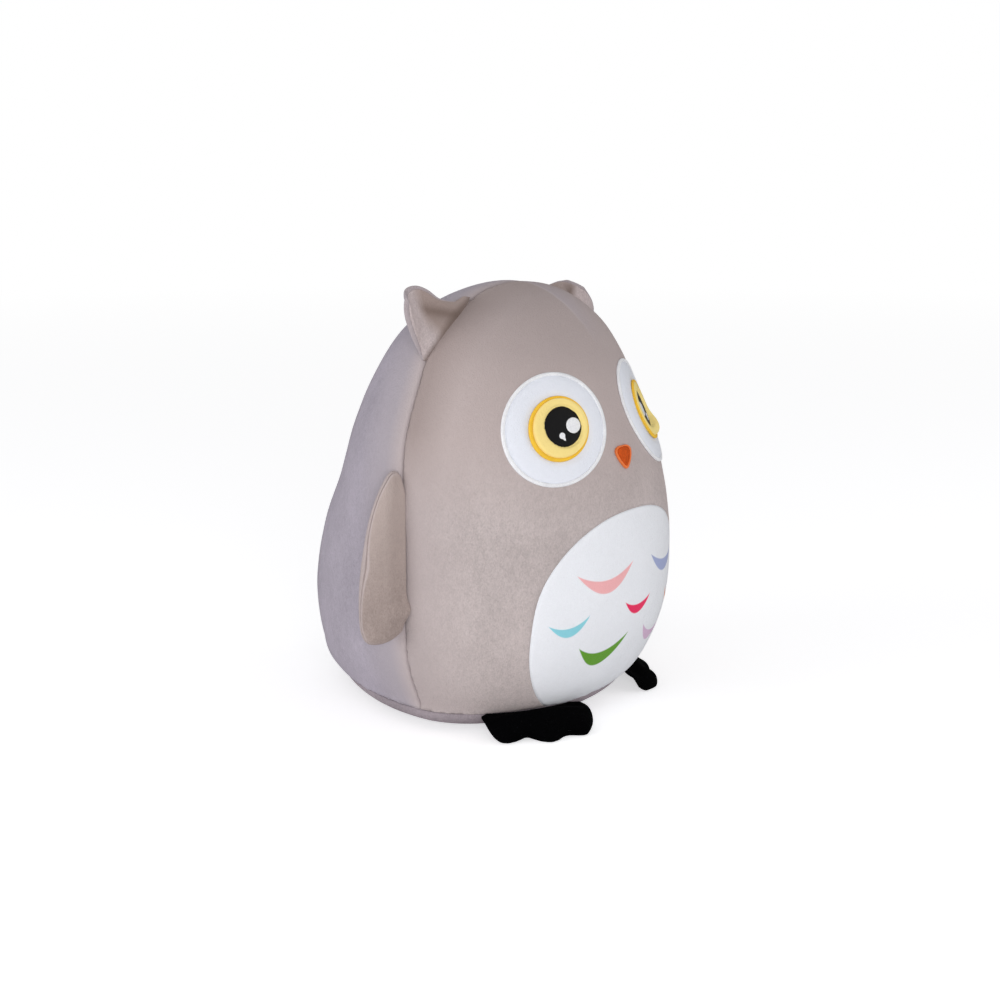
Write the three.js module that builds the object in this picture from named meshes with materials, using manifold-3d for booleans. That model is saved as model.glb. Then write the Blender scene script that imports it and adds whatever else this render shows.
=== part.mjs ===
// A plush owl that stands 300 mm tall: a stuffed egg of short-pile fabric on a flat round base, with padded
// wings in its side seams, folded ears, mitten feet and sewn-on eyes and beak.
// Lengths are in millimetres and +Z is up. The owl looks along -Y and its right side is -X. The origin is on
// the floor, in the plane of the two side seams and of the owl's own symmetry.
import * as THREE from 'three';
import { mergeVertices } from 'three/addons/utils/BufferGeometryUtils.js';
import Module from 'manifold-3d';

// Body
const bodyHeight = 300;
const sideHalf = 116; // widest half width, across the side seams
const frontDepth = 114; // from the side seams' plane to the chest
const backDepth = 153; // from the side seams' plane to the rump
const baseSeamLevel = 14; // where the front and back panels meet the base panel
const bodyRings = 16;
const bodySegments = 36;

// The body's outline at chosen levels, as shares of its height, half width, front depth and back depth.
const outlineShares = [
  [0, 0.62, 0.42, 0.56],
  [0.02, 0.81, 0.55, 0.715],
  [0.06, 0.86, 0.685, 0.935],
  [0.14, 0.95, 0.84, 0.985],
  [0.26, 0.99, 0.975, 1],
  [0.4, 0.99, 1, 0.94],
  [0.54, 1, 0.935, 0.79],
  [0.67, 0.97, 0.85, 0.69],
  [0.79, 0.845, 0.705, 0.585],
  [0.9, 0.68, 0.495, 0.425],
  [0.965, 0.405, 0.335, 0.275],
  [1, 0, 0, 0],
];

// Fabric and sewing
const fabric = 1.6; // thickness of the plush fabric
const gap = 0.3; // between pieces that touch
const allowance = 7; // depth of the turned-in seam allowance, from the outer face
const seamEdge = 0.75; // half thickness of a limb where its two layers are sewn together
const facetSag = 0.3; // how far a facet lies inside the smooth body
const cutReach = 600; // of every cutting block, past all of the body

// Belly panel, let into the front panel edge to edge
const bellyHalf = 78.7;
const bellyLevel = 82; // its widest level
const bellyAbove = 71.2;
const bellyBelow = 78;
const bellyRoundness = 2.2; // 2 is an ellipse
const bellySegments = 32;

// Eyes: centre as seen from the front, then circles drawn out along one diagonal by the stuffed fabric.
// Shifts are towards the beak and upwards from the piece that each one is set on.
const eyeSide = 51.5;
const eyeLevel = 212;
const eyeDrawn = 1.05; // long half axis over the mean radius; the short one is the mean radius over it
const eyeTurn = 37 * Math.PI / 180; // of the long axis, from level up towards the beak
const eyeRadius = 39;
const eyeStitch = 2.6; // width of the satin stitch round the white
const irisRadius = 22.3;
const irisShift = [1.1, -0.4];
const irisStitch = 2.1; // mean width of the amber stitch
const irisOffset = [1.1, 0.4]; // the yellow disc in its stitch
const pupilRadius = 14.1;
const pupilShift = [3.6, 1.2];
const glintRadius = 5.5;
const glintShift = [7.7, 0.1];
const sparkRadius = 2.3;
const sparkShift = [-2.1, -6.1];
const eyeSegments = { large: 24, middle: 18, small: 10 };
// Thickness of each piece of an eye.
const whiteLayer = 1.4;
const stitchLayer = 1.8;
const irisLayer = 1.2;
const pupilLayer = 0.8;
const glintLayer = 0.6;
const patchEdgeShare = 1 / 3; // of a patch's thickness, over which its edge is rounded
const patchRingShares = { rim: 0.94, half: 0.5 };

// Beak
const beakSide = -3.3; // of its middle, which sits a little towards the owl's right
const beakHalf = 8.8;
const beakTop = 197.3;
const beakTip = 179.5;
const beakStitch = 2.2;
const beakFabric = 2.4;
const beakMiddleShare = 0.62; // of its height, from the tip
// Closed outline from the middle of the top, as shares of half width and of height above the tip.
const beakShares = [
  [0, 1], [-0.62, 0.97], [-0.97, 0.8], [-0.84, 0.5], [-0.42, 0.16],
  [0, 0], [0.42, 0.16], [0.84, 0.5], [0.97, 0.8], [0.62, 0.97],
];
const beakSegments = 20;

// Ears, in the side seam
const earRootLow = 0.8433 * bodyHeight; // level of the outer end of the root
const earRootHigh = 0.97 * bodyHeight; // level of its inner end
const earHeights = { right: 40, left: 30 }; // tip over the straight line between the root's ends
const earLean = 10 * Math.PI / 180; // backwards
const earCup = 5; // how far the middle is pushed back
const earCrown = 1.2;
const earRootGap = 0.6; // between the root and the body
const earRiseShare = 2.2; // the ear is cupped from this many times its cup above the root
const earMiddleShares = [-0.12, 0.42]; // of half the root's length and of the height
const earFoldShares = { middle: -0.1, narrowing: 0.75 }; // of half the root, and of the width towards the tip
// The free edge from the outer to the inner end, as shares of half the root's length and of the ear's height.
// The left ear lies lower and wider.
const earShares = {
  right: [
    [-1, 0.04], [-0.93, 0.3], [-0.83, 0.57], [-0.66, 0.84], [-0.42, 1], [-0.15, 1.01],
    [0.09, 0.93], [0.26, 0.72], [0.39, 0.43], [0.6, 0.24], [0.85, 0.16], [1.02, 0.02],
  ],
  left: [
    [-1, 0.04], [-1.08, 0.4], [-1.1, 0.75], [-0.97, 0.91], [-0.76, 0.97], [-0.42, 0.99],
    [-0.2, 0.98], [0.14, 0.82], [0.45, 0.6], [0.7, 0.4], [0.93, 0.18], [1.02, 0.02],
  ],
};

// Wings, in the side seam
const wingRootHigh = 182;
const wingRootLow = 87;
const wingTip = 67;
const wingReach = 29; // from the seam to the free edge
const wingSweep = 35 * Math.PI / 180; // backwards from straight out
const wingCrown = 5;
const wingBow = 1.5; // how far the middle of the wing bows out of its plane
const wingPinch = 13; // from the root over which the padding grows to its full thickness
const wingRootGap = 0.9; // between the root and the body
const wingMiddleShares = [0.5, 0.45]; // of the reach and of the height
// The free edge from the top of the root down, as shares of the reach and of the height from tip to top.
const wingShares = [
  [0.03, 1], [0.24, 0.965], [0.44, 0.87], [0.67, 0.725], [0.86, 0.555], [0.97, 0.38], [1, 0.25],
  [0.96, 0.11], [0.83, 0.015], [0.6, 0], [0.33, 0.035], [0.1, 0.1],
];

// Feet, in the base seam
const footHalf = 36; // half the length of the root
const footLengths = { right: 38, left: 33 }; // from the root's chord to the longest toe, over its share
const footCrown = 5.6;
const footLevel = 6.6; // of the middle of the foot
const footToeLevel = 3.6; // of the toes' free edge
const footDropShare = 0.55; // share of the length over which the foot comes down from the seam
const footTurns = { right: 34 * Math.PI / 180, left: 60 * Math.PI / 180 }; // round the body from the front
const footRootHalfTurn = 22 * Math.PI / 180;
const footFloorGap = 0.3;
const footPinch = 15; // from the root over which the padding grows to its full thickness
const footRootGaps = { right: 0.3, left: 0.65 }; // between the root and the body
const footRootRises = { right: 1.2, left: 2 }; // of the body outline that clears the root, under its lean
const footMiddleShares = [0.06, 0.44]; // of half the root's length and of the foot's
// The free edge from the outer end of the root to the inner end: three toes.
const footShares = [
  [-1, 0.08], [-0.97, 0.32], [-0.87, 0.58], [-0.74, 0.68], [-0.58, 0.67], [-0.42, 0.61], [-0.29, 0.57],
  [-0.22, 0.64], [-0.12, 0.82], [0.04, 0.92], [0.22, 0.87], [0.38, 0.75], [0.5, 0.71], [0.6, 0.76],
  [0.72, 0.83], [0.86, 0.82], [1.03, 0.66], [1.17, 0.44], [1.2, 0.22], [1.08, 0.06],
];

const slopeShare = 0.001; // of the body's height, over which its slope is measured

// Limb panels: shares of the way from the middle of a panel to its outline.
const skinShares = [0, 0.45, 0.75, 0.92, 1];
const liningShares = [0.85, 0.8, 0.5, 0]; // the padding ends at the second
const layerShares = [0.75, 0.45, 0]; // of the inner face where there is no padding
const pinchShare = 0.15; // of the padding's thickness at a root, which leaves it free to bend
const fillShare = 2.4; // roundness of the padding: higher is fuller towards the edge
const rootShares = [0.05, 0.2, 0.4, 0.6, 0.8, 0.95]; // along a root, where it has points
const edgeSteps = { wing: 15, ear: 15, foot: 26 }; // along a free edge

const wasm = await Module();
wasm.setup();

const toRight = -1;
const toLeft = 1;
const outlineRings = new THREE.CubicInterpolant(
  outlineShares.map((row) => row[0] * bodyHeight),
  outlineShares.flatMap(([, side, front, back]) => [
    (side * sideHalf) ** 2, (front * frontDepth) ** 2, (back * backDepth) ** 2,
  ]),
  3,
);

// Squares of the half width and of the front and back depths at a level.
function sectionAt(level) {
  const [side, front, back] = outlineRings.evaluate(THREE.MathUtils.clamp(level, 0, bodyHeight));
  return { side: Math.max(side, 0), front: Math.max(front, 0), back: Math.max(back, 0) };
}

const halfWidthAt = (level) => Math.sqrt(sectionAt(level).side);

// The body's skin at a turn round the body, counted from the front towards +X.
function bodyPoint(turn, level) {
  const section = sectionAt(level);
  const depth = Math.cos(turn) > 0 ? section.front : section.back;
  const across = Math.sqrt(section.side) * Math.sin(turn);
  return new THREE.Vector3(across, -Math.sqrt(depth) * Math.cos(turn), level);
}

const onSkin = 1; // value of the field on the skin, which is lower inside

// The body's field: below 1 inside the body.
function bodyField(point) {
  const section = sectionAt(point.z);
  return point.x ** 2 / section.side + point.y ** 2 / (point.y < 0 ? section.front : section.back);
}

function bodyNormal(point) {
  const step = bodyHeight * slopeShare;
  const low = THREE.MathUtils.clamp(point.z - step, 0, bodyHeight);
  const high = THREE.MathUtils.clamp(point.z + step, 0, bodyHeight);
  const section = sectionAt(point.z);
  const slope = (key) => (sectionAt(high)[key] - sectionAt(low)[key]) / (high - low);
  const key = point.y < 0 ? 'front' : 'back';
  const across = point.x / section.side;
  const along = point.y / section[key];
  const rise = across ** 2 * slope('side') + along ** 2 * slope(key);
  return new THREE.Vector3(2 * across, 2 * along, -rise).normalize();
}

// Moves a point along a direction until it lies on the body's skin.
function dropOnBody(point, direction) {
  let low = -frontDepth;
  let high = frontDepth / 2;
  const at = (travel) => point.clone().addScaledVector(direction, travel);
  for (let halving = 0; halving < 40; halving += 1) {
    const middle = (low + high) / 2;
    if (bodyField(at(middle)) > onSkin) low = middle;
    else high = middle;
  }
  return at(high);
}

// Solids

function facingOut(geometry) {
  const bare = geometry.clone();
  bare.deleteAttribute('normal');
  bare.deleteAttribute('uv');
  const merged = mergeVertices(bare);
  const position = merged.attributes.position;
  const corners = [new THREE.Vector3(), new THREE.Vector3(), new THREE.Vector3()];
  const kept = [];
  let volume = 0;
  for (let i = 0; i < merged.index.count; i += 3) {
    const ids = [0, 1, 2].map((k) => merged.index.getX(i + k));
    if (new Set(ids).size === 3) {
      ids.forEach((id, k) => corners[k].fromBufferAttribute(position, id));
      volume += corners[0].dot(corners[1].clone().cross(corners[2]));
      kept.push(...ids);
    }
  }
  if (volume < 0) kept.reverse();
  const used = new THREE.BufferGeometry();
  used.setAttribute('position', position);
  used.setIndex(kept);
  return used;
}

function solid(geometry) {
  const closed = facingOut(geometry);
  return new wasm.Manifold(new wasm.Mesh({
    numProp: 3,
    vertProperties: Float32Array.from(closed.attributes.position.array),
    triVerts: Uint32Array.from(closed.index.array),
  }));
}

function geometryOf(shape) {
  const mesh = shape.getMesh();
  const geometry = new THREE.BufferGeometry();
  geometry.setAttribute('position', new THREE.BufferAttribute(mesh.vertProperties, 3));
  geometry.setIndex(new THREE.BufferAttribute(mesh.triVerts, 1));
  return geometry;
}

function block(low, high) {
  const size = new THREE.Vector3().subVectors(high, low);
  const box = new THREE.BoxGeometry(size.x, size.y, size.z);
  box.translate((low.x + high.x) / 2, (low.y + high.y) / 2, (low.z + high.z) / 2);
  return solid(box);
}

// A revolve of a profile of [share, height] pairs whose every point is then put in place.
function placedRevolve(profile, segments, place) {
  const outline = profile.map(([share, height]) => new THREE.Vector2(share, height));
  const geometry = new THREE.LatheGeometry(outline, segments);
  const position = geometry.attributes.position;
  for (let i = 0; i < position.count; i += 1) {
    const column = Math.floor(i / profile.length) % segments;
    const [share, height] = profile[i % profile.length];
    const point = place(share, column / segments, height);
    position.setXYZ(i, point.x, point.y, point.z);
  }
  return geometry;
}

// The whole body, with its skin moved inwards.
function bodySolid(inset) {
  const profile = [[0, 0]];
  for (let ring = 0; ring < bodyRings; ring += 1) {
    profile.push([1, bodyHeight * (1 - Math.cos(Math.PI * ring / bodyRings)) / 2]);
  }
  profile.push([0, bodyHeight]);
  const place = (share, turn, level) => {
    if (share === 0) return new THREE.Vector3(0, 0, level > 0 ? level - inset : inset);
    const point = bodyPoint(turn * 2 * Math.PI, level);
    return point.addScaledVector(bodyNormal(point), -inset);
  };
  return solid(placedRevolve(profile, bodySegments, place));
}

// Body panels: one skin, split along its seams, whose edges turn inwards as seam allowances.
const farLow = new THREE.Vector3(-cutReach, -cutReach, -cutReach);
const farHigh = new THREE.Vector3(cutReach, cutReach, cutReach);
const halfSpace = {
  front: (y) => block(farLow, farHigh.clone().setY(y)),
  back: (y) => block(farLow.clone().setY(y), farHigh),
  above: (z) => block(farLow.clone().setZ(z), farHigh),
  below: (z) => block(farLow, farHigh.clone().setZ(z)),
};

function superellipse(turn, half, above, below, roundness) {
  const across = Math.cos(turn);
  const up = Math.sin(turn);
  return new THREE.Vector2(
    half * Math.sign(across) * Math.abs(across) ** (2 / roundness),
    (up > 0 ? above : below) * Math.sign(up) * Math.abs(up) ** (2 / roundness),
  );
}

function bellyPrism(grow) {
  const points = Array.from({ length: bellySegments }, (_, i) => superellipse(
    i / bellySegments * 2 * Math.PI, bellyHalf + grow, bellyAbove + grow, bellyBelow + grow, bellyRoundness,
  ));
  const prism = new THREE.ExtrudeGeometry(new THREE.Shape(points), { depth: cutReach, bevelEnabled: false });
  prism.rotateX(Math.PI / 2);
  prism.translate(0, 0, bellyLevel);
  return solid(prism);
}

// The strips beside each seam where the fabric turns inwards, widened by a clearance.
function seamStrips(clearance) {
  const half = gap / 2 + fabric + clearance;
  const side = halfSpace.front(half).intersect(halfSpace.back(-half));
  const base = halfSpace.below(baseSeamLevel + half).intersect(halfSpace.above(baseSeamLevel - half));
  return side.add(base);
}

// The room inside the panels, less a clearance.
function bodyRoom(clearance) {
  return bodySolid(fabric + clearance).subtract(seamStrips(clearance)).add(bodySolid(allowance + clearance));
}

function bodyPanels() {
  const skin = bodySolid(0).subtract(bodyRoom(0));
  const upper = skin.intersect(halfSpace.above(baseSeamLevel + gap / 2));
  const front = upper.intersect(halfSpace.front(-gap / 2));
  return {
    front_panel: front.subtract(bellyPrism(gap / 2)),
    belly_panel: front.intersect(bellyPrism(-gap / 2)),
    back_panel: upper.intersect(halfSpace.back(gap / 2)),
    base_panel: skin.intersect(halfSpace.below(baseSeamLevel - gap / 2)),
    body_filling: bodyRoom(gap),
  };
}

// Sewn-on patches: the space between two closed outlines, laid on the body.

// A frame that touches the body at a point seen from the front.
function frameOnFront(x, level) {
  const centre = dropOnBody(new THREE.Vector3(x, -frontDepth, level), new THREE.Vector3(0, 1, 0));
  const normal = bodyNormal(centre);
  const inwards = new THREE.Vector3(-Math.sign(x) || 1, 0, 0);
  inwards.addScaledVector(normal, -inwards.dot(normal)).setZ(0).normalize();
  inwards.addScaledVector(normal, -inwards.dot(normal)).normalize();
  const up = new THREE.Vector3(0, 0, 1);
  up.addScaledVector(normal, -normal.z).addScaledVector(inwards, -up.dot(inwards)).normalize();
  return { centre, normal, inwards, up };
}

function onFrame(frame, spot, height) {
  const start = frame.centre.clone().addScaledVector(frame.inwards, spot.x).addScaledVector(frame.up, spot.y);
  const skin = dropOnBody(start, frame.normal.clone().negate());
  return skin.addScaledVector(bodyNormal(skin), height);
}

// A ring between two outlines, or a disc where there is no inner one.
function patch(frame, outer, inner, low, high, segments) {
  const side = high - (high - low) * patchEdgeShare;
  const { rim, half } = patchRingShares;
  const profile = inner
    ? [[0, low], [1, low], [1, side], [half, high], [0, side], [0, low]]
    : [[0, low], [half, low], [1, low], [1, side], [rim, high], [half, high], [0, high]];
  return placedRevolve(profile, segments, (share, turn, height) => {
    const spot = outer(turn);
    const start = inner ? inner(turn) : outer.middle;
    return onFrame(frame, spot.lerp(start, 1 - share), height);
  });
}

// A circle drawn out along the eye's diagonal, round a middle given in the eye's frame.
function drawnCircle(middle, radius) {
  const outline = (turn) => {
    const angle = turn * 2 * Math.PI;
    const spot = new THREE.Vector2(radius * eyeDrawn * Math.cos(angle), radius / eyeDrawn * Math.sin(angle));
    return spot.rotateAround(new THREE.Vector2(), eyeTurn).add(middle);
  };
  outline.middle = middle;
  return outline;
}

function eye(side, name) {
  const frame = frameOnFront(side * eyeSide, eyeLevel);
  const white = new THREE.Vector2();
  const iris = white.clone().add(new THREE.Vector2(...irisShift));
  const yellow = iris.clone().add(new THREE.Vector2(...irisOffset));
  const pupil = iris.clone().add(new THREE.Vector2(...pupilShift));
  const glint = pupil.clone().add(new THREE.Vector2(...glintShift));
  const spark = pupil.clone().add(new THREE.Vector2(...sparkShift));
  const seat = gap + facetSag;
  const onWhite = seat + whiteLayer + seat;
  const onIris = onWhite + irisLayer + seat;
  const onPupil = onIris + pupilLayer + seat;
  const disc = (middle, radius, low, thickness, segments) => patch(
    frame, drawnCircle(middle, radius), null, low, low + thickness, segments,
  );
  const ring = (outer, inner, low) => patch(frame, outer, inner, low, low + stitchLayer, eyeSegments.large);
  return {
    [`eye_stitch_${name}`]: ring(
      drawnCircle(white, eyeRadius), drawnCircle(white, eyeRadius - eyeStitch), seat,
    ),
    [`eye_white_${name}`]: disc(
      white, eyeRadius - eyeStitch - gap, seat, whiteLayer, eyeSegments.large,
    ),
    [`iris_stitch_${name}`]: ring(
      drawnCircle(iris, irisRadius), drawnCircle(yellow, irisRadius - irisStitch), onWhite,
    ),
    [`iris_${name}`]: disc(
      yellow, irisRadius - irisStitch - gap, onWhite, irisLayer, eyeSegments.large,
    ),
    [`pupil_${name}`]: disc(pupil, pupilRadius, onIris, pupilLayer, eyeSegments.middle),
    [`glint_${name}`]: disc(glint, glintRadius, onPupil, glintLayer, eyeSegments.small),
    [`spark_${name}`]: disc(spark, sparkRadius, onPupil, glintLayer, eyeSegments.small),
  };
}

// A closed smooth outline through share points, with a half width and a height, drawn in by an inset.
function closedOutline(shares, half, height, middle) {
  const points = shares.map(([across, up]) => new THREE.Vector3(across * half, up * height - middle, 0));
  const curve = new THREE.CatmullRomCurve3(points, true);
  const outline = (turn) => {
    const point = curve.getPoint(turn);
    return new THREE.Vector2(point.x, point.y);
  };
  outline.middle = new THREE.Vector2();
  return outline;
}

function beak() {
  const full = beakTop - beakTip;
  const frame = frameOnFront(beakSide, beakTip + full * beakMiddleShare);
  const outline = (inset) => {
    const height = full - 2 * inset;
    return closedOutline(beakShares, beakHalf - inset, height, height * beakMiddleShare);
  };
  const seat = gap + facetSag;
  return {
    beak_stitch: patch(frame, outline(0), outline(beakStitch), seat, seat + stitchLayer, beakSegments),
    beak: patch(frame, outline(beakStitch + gap), null, seat, seat + beakFabric, beakSegments),
  };
}

// Limbs: two layers sewn together round an outline, with padding between them where it shows.

// Half thickness of a padded limb at a share of the way to its outline.
const padded = (share, crown) => seamEdge + crown * Math.sqrt(1 - share ** fillShare);

// Thins the padding near a root, then draws it in by a clearance.
function pinched(height, fromRoot, stretch, clearance) {
  const ease = THREE.MathUtils.lerp(pinchShare, 1, THREE.MathUtils.smoothstep(fromRoot, 0, stretch));
  const size = Math.abs(height);
  const thin = Math.min(size, seamEdge) + Math.max(size - seamEdge, 0) * ease;
  return Math.sign(height) * (thin - clearance);
}

function limbLayer(limb, face) {
  const skin = skinShares.map((share) => [share, padded(share, limb.crown)]);
  const rim = [[1, gap / 2], [liningShares[0], gap / 2]];
  const lining = liningShares.map((share) => [share, padded(share, limb.crown) - fabric]);
  const flat = [1, ...layerShares].map((share) => [share, gap / 2]);
  const profile = limb.filled ? [...skin, ...rim, ...lining] : [...skin, ...flat];
  return limbPiece(limb, profile, face, 0);
}

function limbFilling(limb) {
  const upper = liningShares.slice(1).map((share) => [share, padded(share, limb.crown) - fabric]);
  const lower = upper.map(([share, height]) => [share, -height]).reverse();
  return limbPiece(limb, [...lower, ...upper], 1, gap + facetSag);
}

function limbPiece(limb, profile, face, clearance) {
  return placedRevolve(profile, limb.outline.length, (share, turn, height) => {
    const spot = limb.outline[Math.round(turn * limb.outline.length)];
    return limb.place(limb.middle.clone().lerp(spot, share), face * height, clearance);
  });
}

// A free edge as a smooth curve through share points, then the root's points back to its start.
function limbOutline(shares, width, height, steps, root) {
  const points = shares.map(([across, up]) => new THREE.Vector2(across * width, up * height));
  return [...new THREE.SplineCurve(points).getPoints(steps), ...root];
}

function wing(side, name) {
  const height = wingRootHigh - wingTip;
  const out = new THREE.Vector3(side * Math.cos(wingSweep), Math.sin(wingSweep), 0);
  const forwards = new THREE.Vector3(side * Math.sin(wingSweep), -Math.cos(wingSweep), 0);
  const root = rootShares.map((share) => new THREE.Vector2(
    0, THREE.MathUtils.lerp(wingRootLow, wingRootHigh, share) - wingTip,
  ));
  const [acrossShare, upShare] = wingMiddleShares;
  const limb = {
    outline: limbOutline(wingShares, wingReach - wingRootGap, height, edgeSteps.wing, root),
    middle: new THREE.Vector2(wingReach * acrossShare, height * upShare),
    crown: wingCrown,
    filled: true,
    place: (spot, thickness, clearance) => {
      const bow = wingBow * Math.sin(Math.PI * spot.x / wingReach);
      return new THREE.Vector3(side * sideHalf, 0, wingTip + spot.y)
        .addScaledVector(out, spot.x + wingRootGap)
        .addScaledVector(forwards, pinched(thickness, spot.x, wingPinch, clearance) + bow);
    },
  };
  return {
    [`wing_front_panel_${name}`]: limbLayer(limb, 1),
    [`wing_back_panel_${name}`]: limbLayer(limb, -1),
    [`wing_filling_${name}`]: limbFilling(limb),
  };
}

function ear(side, name) {
  const height = earHeights[name];
  const low = new THREE.Vector2(halfWidthAt(earRootLow), earRootLow);
  const high = new THREE.Vector2(halfWidthAt(earRootHigh), earRootHigh);
  const middle = low.clone().lerp(high, 0.5);
  const along = high.clone().sub(low).normalize();
  const out = new THREE.Vector2(along.y, -along.x);
  const half = high.distanceTo(low) / 2;
  // Height of the body's own outline over the straight line between the root's ends.
  const rootAt = (share) => {
    const level = THREE.MathUtils.lerp(earRootLow, earRootHigh, share);
    const spot = new THREE.Vector2(halfWidthAt(level), level).sub(middle);
    return new THREE.Vector2(spot.dot(along), spot.dot(out));
  };
  const riseAt = (across) => {
    const share = THREE.MathUtils.clamp((across / half + 1) / 2, 0, 1);
    return rootAt(share).y;
  };
  const root = rootShares.toReversed().map((share) => rootAt(share).add(new THREE.Vector2(0, earRootGap)));
  const [acrossShare, upShare] = earMiddleShares;
  const limb = {
    outline: limbOutline(earShares[name], half, height, edgeSteps.ear, root),
    middle: new THREE.Vector2(half * acrossShare, height * upShare),
    crown: earCrown,
    filled: false,
    place: (spot, thickness) => {
      const rise = Math.max(0, spot.y - riseAt(spot.x));
      const width = half * (1 - earFoldShares.narrowing * spot.y / height) + seamEdge;
      const fold = Math.max(0, 1 - ((spot.x - half * earFoldShares.middle) / width) ** 2);
      const cup = earCup * fold * Math.min(1, rise / earCup / earRiseShare);
      const back = Math.tan(earLean) * rise + cup;
      const flat = middle.clone().addScaledVector(along, spot.x).addScaledVector(out, spot.y);
      return new THREE.Vector3(side * flat.x, back - thickness, flat.y);
    },
  };
  return {
    [`ear_front_panel_${name}`]: limbLayer(limb, 1),
    [`ear_back_panel_${name}`]: limbLayer(limb, -1),
  };
}

function foot(side, name) {
  const turn = footTurns[name];
  const length = footLengths[name];
  const turns = [turn + footRootHalfTurn, turn - footRootHalfTurn];
  const ends = turns.map((at) => bodyPoint(side * at, baseSeamLevel));
  const middle = ends[0].clone().lerp(ends[1], 0.5);
  const half = ends[0].distanceTo(ends[1]) / 2;
  const along = ends[1].clone().sub(ends[0]).normalize();
  const out = new THREE.Vector3(-side * along.y, side * along.x, 0);
  const rootAt = (share, level) => {
    const at = turn + footRootHalfTurn * (1 - 2 * share);
    const spot = bodyPoint(side * at, level).sub(middle);
    return new THREE.Vector2(spot.dot(along), spot.dot(out));
  };
  const riseAt = (across) => {
    const share = THREE.MathUtils.clamp((across / half + 1) / 2, 0, 1);
    return rootAt(share, baseSeamLevel).y;
  };
  const root = rootShares.toReversed().map((share) => (
    rootAt(share, baseSeamLevel + footRootRises[name]).add(new THREE.Vector2(0, footRootGaps[name]))
  ));
  const rootRise = Math.max(...root.map((spot) => spot.y));
  const [acrossShare, upShare] = footMiddleShares;
  const dropEnd = length * footDropShare;
  const limb = {
    outline: limbOutline(footShares, footHalf, length, edgeSteps.foot, root),
    middle: new THREE.Vector2(footHalf * acrossShare, length * upShare),
    crown: footCrown,
    filled: true,
    place: (spot, thickness, clearance) => {
      const drop = THREE.MathUtils.smoothstep(spot.y - riseAt(spot.x), 0, dropEnd);
      const toes = THREE.MathUtils.smoothstep(spot.y, dropEnd, length);
      const level = THREE.MathUtils.lerp(baseSeamLevel, footLevel, drop) - (footLevel - footToeLevel) * toes
        + pinched(thickness, spot.y - rootRise, footPinch, clearance);
      return middle.clone().addScaledVector(along, spot.x).addScaledVector(out, spot.y)
        .setZ(Math.max(footFloorGap, level));
    },
  };
  return {
    [`foot_top_panel_${name}`]: limbLayer(limb, 1),
    [`foot_sole_panel_${name}`]: limbLayer(limb, -1),
    [`foot_filling_${name}`]: limbFilling(limb),
  };
}

// Finishes
const finish = {
  plush: { color: 0xb2a5a2, roughness: 0.95 },
  backPlush: { color: 0xa59eaa, roughness: 0.95 },
  basePlush: { color: 0x8f8587, roughness: 0.95 },
  whitePlush: { color: 0xe8eaf2, roughness: 0.9 },
  filling: { color: 0xf4f4f0, roughness: 1 },
  whiteThread: { color: 0xf0f1f6, roughness: 0.6 },
  yellow: { color: 0xfde182, roughness: 0.85 },
  amberThread: { color: 0xfab91e, roughness: 0.55 },
  blackThread: { color: 0x17161a, roughness: 0.6 },
  orange: { color: 0xcd5a1e, roughness: 0.7 },
  orangeThread: { color: 0xee7f3a, roughness: 0.55 },
  blackPlush: { color: 0x0d0d10, roughness: 0.95 },
};

const finishOf = [
  [/filling/, finish.filling],
  [/^back_panel/, finish.backPlush],
  [/^base_panel/, finish.basePlush],
  [/^belly|^eye_white/, finish.whitePlush],
  [/^eye_stitch|^glint|^spark/, finish.whiteThread],
  [/^iris_stitch/, finish.amberThread],
  [/^iris/, finish.yellow],
  [/^pupil/, finish.blackThread],
  [/^beak_stitch/, finish.orangeThread],
  [/^beak/, finish.orange],
  [/^foot/, finish.blackPlush],
  [/./, finish.plush],
];

const owl = new THREE.Group();

function addPiece(name, geometry) {
  const { color, roughness } = finishOf.find(([pattern]) => pattern.test(name))[1];
  const mesh = new THREE.Mesh(geometry, new THREE.MeshStandardMaterial({ color, roughness, metalness: 0 }));
  mesh.name = name;
  owl.add(mesh);
}

for (const [name, shape] of Object.entries(bodyPanels())) addPiece(name, geometryOf(shape));
for (const [name, geometry] of Object.entries(beak())) addPiece(name, facingOut(geometry));
for (const [side, name] of [[toRight, 'right'], [toLeft, 'left']]) {
  const pieces = { ...eye(side, name), ...ear(side, name), ...wing(side, name), ...foot(side, name) };
  for (const [piece, geometry] of Object.entries(pieces)) addPiece(piece, facingOut(geometry));
}

export default owl;
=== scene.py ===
import math

import bmesh
import bpy
import numpy as np
from mathutils import Matrix, Vector, noise


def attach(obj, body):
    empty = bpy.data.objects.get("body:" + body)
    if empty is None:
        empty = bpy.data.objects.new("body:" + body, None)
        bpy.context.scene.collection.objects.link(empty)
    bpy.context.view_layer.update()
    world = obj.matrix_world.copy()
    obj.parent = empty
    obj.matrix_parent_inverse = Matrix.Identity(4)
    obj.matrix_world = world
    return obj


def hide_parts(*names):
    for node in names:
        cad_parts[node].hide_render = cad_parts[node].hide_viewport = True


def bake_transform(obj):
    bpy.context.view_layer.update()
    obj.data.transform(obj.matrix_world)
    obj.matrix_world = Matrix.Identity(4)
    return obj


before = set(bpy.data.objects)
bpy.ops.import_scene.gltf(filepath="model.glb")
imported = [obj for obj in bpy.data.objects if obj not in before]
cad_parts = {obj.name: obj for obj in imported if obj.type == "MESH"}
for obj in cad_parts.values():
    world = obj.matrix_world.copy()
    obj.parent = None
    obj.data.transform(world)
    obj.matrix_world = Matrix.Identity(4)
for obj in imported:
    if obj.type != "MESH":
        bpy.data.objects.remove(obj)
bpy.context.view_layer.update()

# Body
BODY_HEIGHT = 0.300
SIDE_HALF = 0.116
FRONT_DEPTH = 0.114
BACK_DEPTH = 0.153
BASE_SEAM = 0.014
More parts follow.
